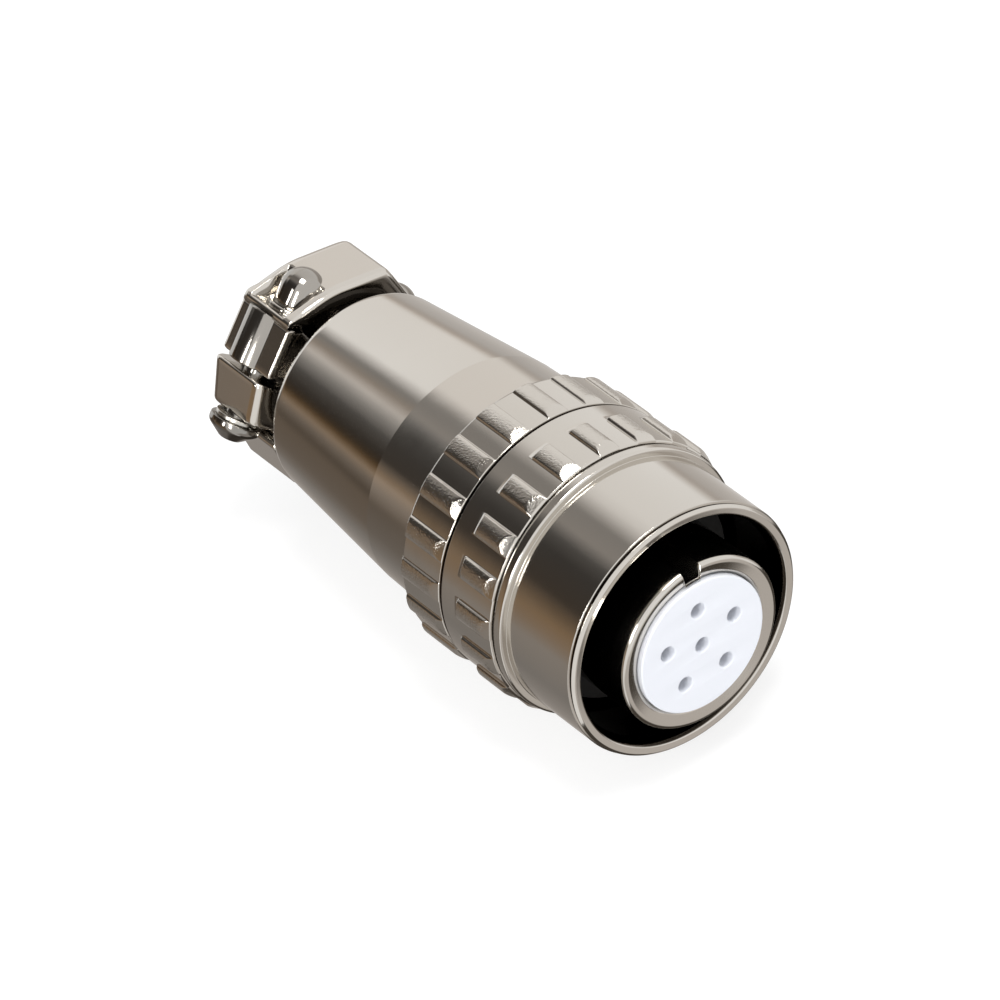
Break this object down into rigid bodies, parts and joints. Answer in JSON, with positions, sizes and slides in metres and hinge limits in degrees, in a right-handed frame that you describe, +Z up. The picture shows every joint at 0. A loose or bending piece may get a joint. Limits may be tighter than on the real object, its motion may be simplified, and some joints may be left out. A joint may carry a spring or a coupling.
{
  "type": "circular cable connector plug",
  "caption": "Round cable plug with a toothed turning coupling ring round a keyed socket face, a tapering toothed backshell and a screwed cable clamp.",
  "frame": {"origin": "centre of the coupling ring's front rim, on the plug's axis", "axes": "+X along the plug and out of its mating face, +Z up as it lies, +Y across it"},
  "size_m": [0.0604, 0.0276, 0.0276],
  "materials": {
    "nickel_plate": "satin nickel plating over a casting",
    "white_insulator": "smooth moulded plastic",
    "plain_brass": "turned",
    "contact_plate": "plated",
    "bright_steel": "nickel plated",
    "dark_rubber": "matt"
  },
  "bodies": {
    "ring": {"coupling_ring": "nickel_plate"},
    "plug": {"plug_shell": "nickel_plate", "backshell": "nickel_plate", "clamp_saddle": "nickel_plate", "front_insert": "white_insulator", "rear_insert": "white_insulator", "insert_ring": "plain_brass", "socket_contact_1": "contact_plate", "socket_contact_2": "contact_plate", "socket_contact_3": "contact_plate", "socket_contact_4": "contact_plate", "socket_contact_5": "contact_plate", "socket_contact_6": "contact_plate", "clamp_screw_left": "bright_steel", "clamp_screw_right": "bright_steel", "lock_washer_left": "bright_steel", "lock_washer_right": "bright_steel", "wave_washer": "bright_steel", "face_gasket": "dark_rubber", "shell_seal": "dark_rubber", "cable_sleeve": "dark_rubber"}
  },
  "joints": [
    {"name": "ring_turn", "type": "hinge", "parent": "plug", "child": "ring", "pos_m": [-0.0115, 0, 0], "axis": [1, 0, 0], "continuous": true}
  ]
}
